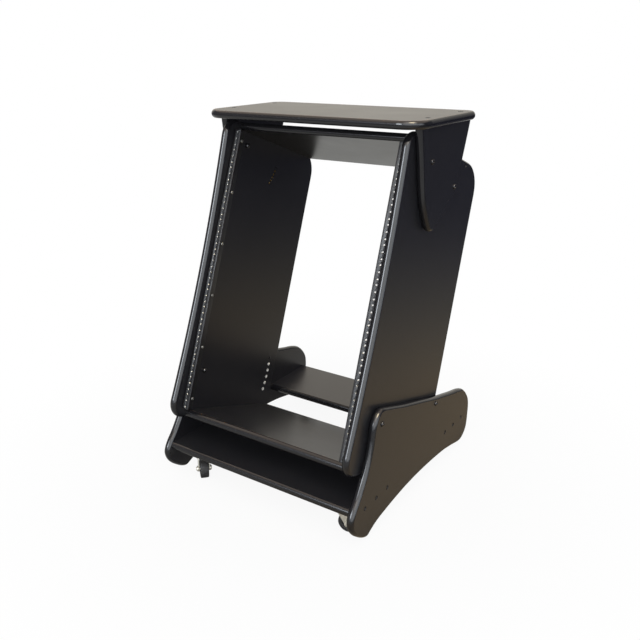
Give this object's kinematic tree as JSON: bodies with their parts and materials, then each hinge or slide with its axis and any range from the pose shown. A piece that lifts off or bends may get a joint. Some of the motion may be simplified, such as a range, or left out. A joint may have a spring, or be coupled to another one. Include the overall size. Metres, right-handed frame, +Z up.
{
  "type": "rolling equipment rack",
  "caption": "Rolling rack for studio gear: a leaning bay of black board on side feet with castors, with a tilting shelf on top.",
  "frame": {"origin": "centre of the plan on the floor under the castors", "axes": "+Z up, the open front of the bay faces -Y, +X to the right of someone facing the front"},
  "size_m": [0.6, 0.6262, 0.9081],
  "materials": {
    "laminate": "satin black laminated board",
    "edging": "rounded glossy black edging",
    "rail": "black coated steel",
    "bolt": "black oxide, half gloss",
    "zinc": "bright zinc plating",
    "hub": "moulded dark grey",
    "tyre": "matte black"
  },
  "bodies": {
    "base": {"castor_front_left_plate": "zinc", "castor_front_right_plate": "zinc", "castor_rear_left_plate": "zinc", "castor_rear_right_plate": "zinc", "foot_left": "laminate", "foot_left_edging": "edging", "foot_right": "laminate", "foot_right_edging": "edging", "front_board": "laminate", "front_board_front_edging": "edging", "front_board_rear_edging": "edging", "rear_board": "laminate", "rear_board_front_edging": "edging", "rear_board_rear_edging": "edging", "tilt_lock_bolt_left": "bolt", "tilt_lock_bolt_right": "bolt", "tilt_pivot_bolt_left": "bolt", "tilt_pivot_bolt_right": "bolt", "tilt_pivot_nut_left": "bolt", "tilt_pivot_nut_right": "bolt"},
    "rack": {"bottom_panel": "laminate", "bottom_panel_front_edging": "edging", "bottom_panel_rear_edging": "edging", "rail_left": "rail", "rail_right": "rail", "side_left": "laminate", "side_left_edging": "edging", "side_right": "laminate", "side_right_edging": "edging", "top_panel": "laminate", "top_panel_front_edging": "edging", "top_panel_rear_edging": "edging"},
    "shelf": {"shelf_board": "laminate", "shelf_board_edging": "edging", "shelf_lock_bolt_left": "bolt", "shelf_lock_bolt_right": "bolt", "shelf_pivot_bolt_left": "bolt", "shelf_pivot_bolt_right": "bolt", "shelf_pivot_nut_left": "bolt", "shelf_pivot_nut_right": "bolt", "wing_left": "laminate", "wing_left_edging": "edging", "wing_right": "laminate", "wing_right_edging": "edging"},
    "castor_front_left": {"castor_front_left_fork": "zinc"},
    "wheel_front_left": {"castor_front_left_hub": "hub", "castor_front_left_tyre": "tyre", "castor_front_left_axle": "zinc"},
    "castor_front_right": {"castor_front_right_fork": "zinc"},
    "wheel_front_right": {"castor_front_right_hub": "hub", "castor_front_right_tyre": "tyre", "castor_front_right_axle": "zinc"},
    "castor_rear_left": {"castor_rear_left_fork": "zinc"},
    "wheel_rear_left": {"castor_rear_left_hub": "hub", "castor_rear_left_tyre": "tyre", "castor_rear_left_axle": "zinc"},
    "castor_rear_right": {"castor_rear_right_fork": "zinc"},
    "wheel_rear_right": {"castor_rear_right_hub": "hub", "castor_rear_right_tyre": "tyre", "castor_rear_right_axle": "zinc"}
  },
  "joints": [
    {"name": "rack_tilt", "type": "hinge", "parent": "base", "child": "rack", "pos_m": [0, -0.18907, 0.26069], "axis": [1, 0, 0], "range_deg": [0, 18.5]},
    {"name": "shelf_tilt", "type": "hinge", "parent": "rack", "child": "shelf", "pos_m": [0, 0.01362, 0.81159], "axis": [-1, 0, 0], "range_deg": [0, 19.25]},
    {"name": "front_left_swivel", "type": "hinge", "parent": "base", "child": "castor_front_left", "pos_m": [-0.211, -0.24307, 0.068], "axis": [0, 0, 1], "continuous": true},
    {"name": "front_left_roll", "type": "hinge", "parent": "castor_front_left", "child": "wheel_front_left", "pos_m": [-0.19762, -0.25511, 0.02469], "axis": [0.6691, 0.7431, 0], "continuous": true},
    {"name": "front_right_swivel", "type": "hinge", "parent": "base", "child": "castor_front_right", "pos_m": [0.211, -0.24307, 0.068], "axis": [0, 0, 1], "continuous": true},
    {"name": "front_right_roll", "type": "hinge", "parent": "castor_front_right", "child": "wheel_front_right", "pos_m": [0.22861, -0.23933, 0.02469], "axis": [-0.2079, 0.9781, 0], "continuous": true},
    {"name": "rear_left_swivel", "type": "hinge", "parent": "base", "child": "castor_rear_left", "pos_m": [-0.211, 0.23593, 0.068], "axis": [0, 0, 1], "continuous": true},
    {"name": "rear_left_roll", "type": "hinge", "parent": "castor_rear_left", "child": "wheel_rear_left", "pos_m": [-0.20634, 0.25332, 0.02469], "axis": [-0.9659, 0.2588, 0], "continuous": true},
    {"name": "rear_right_swivel", "type": "hinge", "parent": "base", "child": "castor_rear_right", "pos_m": [0.211, 0.23593, 0.068], "axis": [0, 0, 1], "continuous": true},
    {"name": "rear_right_roll", "type": "hinge", "parent": "castor_rear_right", "child": "wheel_rear_right", "pos_m": [0.20484, 0.25284, 0.02469], "axis": [-0.9397, -0.342, 0], "continuous": true}
  ]
}
